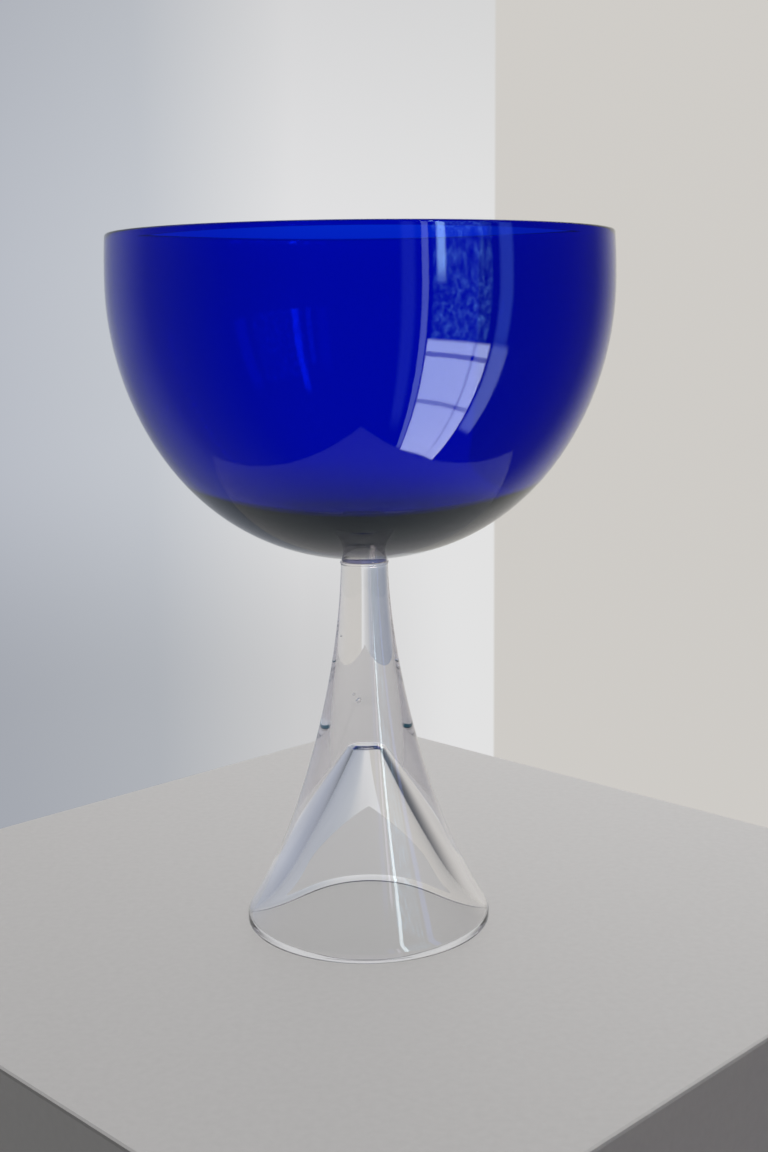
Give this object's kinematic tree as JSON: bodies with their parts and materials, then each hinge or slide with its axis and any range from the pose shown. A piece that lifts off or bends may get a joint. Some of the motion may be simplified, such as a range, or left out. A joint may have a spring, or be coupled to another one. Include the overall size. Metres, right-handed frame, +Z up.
{
  "type": "footed glass bowl",
  "caption": "Deep cobalt-blue glass bowl with a slightly closed-in lip, bonded to a clear glass trumpet foot that is solid above and hollow below.",
  "frame": {"origin": "centre of the resting ring, on the surface that the foot stands on", "axes": "+Z up along the axis of revolution, from the foot to the lip; X and Y are equivalent"},
  "size_m": [0.2416, 0.2416, 0.3415],
  "materials": {
    "cobalt_glass": "polished",
    "clear_bond": "polished",
    "clear_glass": "polished"
  },
  "bodies": {
    "root": {"bowl": "cobalt_glass", "merese": "clear_bond", "foot": "clear_glass"}
  },
  "joints": []
}
